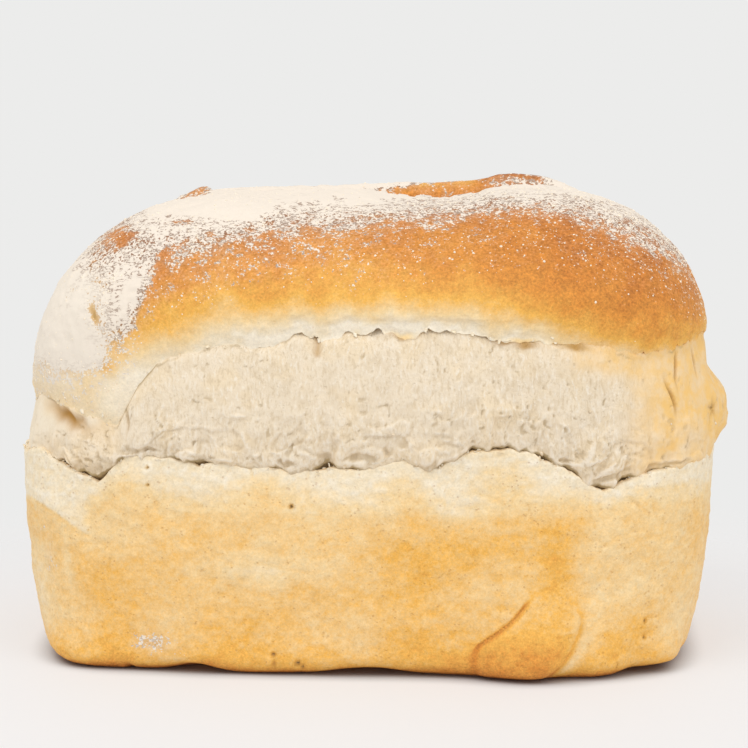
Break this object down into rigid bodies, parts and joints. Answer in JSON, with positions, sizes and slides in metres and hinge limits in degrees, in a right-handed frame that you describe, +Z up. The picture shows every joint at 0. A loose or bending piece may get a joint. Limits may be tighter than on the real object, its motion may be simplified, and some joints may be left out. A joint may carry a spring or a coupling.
{
  "type": "white farmhouse loaf",
  "caption": "Whole tin-baked loaf of white bread: upright golden walls on a flat base, a torn band of pale crumb all round, and a domed top with a lengthwise slash.",
  "frame": {"origin": "middle of the box round the loaf, at the flat base it stands on", "axes": "+X along the loaf's length to the end with the lobe, -Y out of the front with the folded tongue of dough, +Z up"},
  "size_m": [0.2268, 0.136, 0.1528],
  "materials": {
    "bread_crust": "dry baked crust, roughness 0.85"
  },
  "bodies": {
    "root": {"loaf": "bread_crust"}
  },
  "joints": []
}
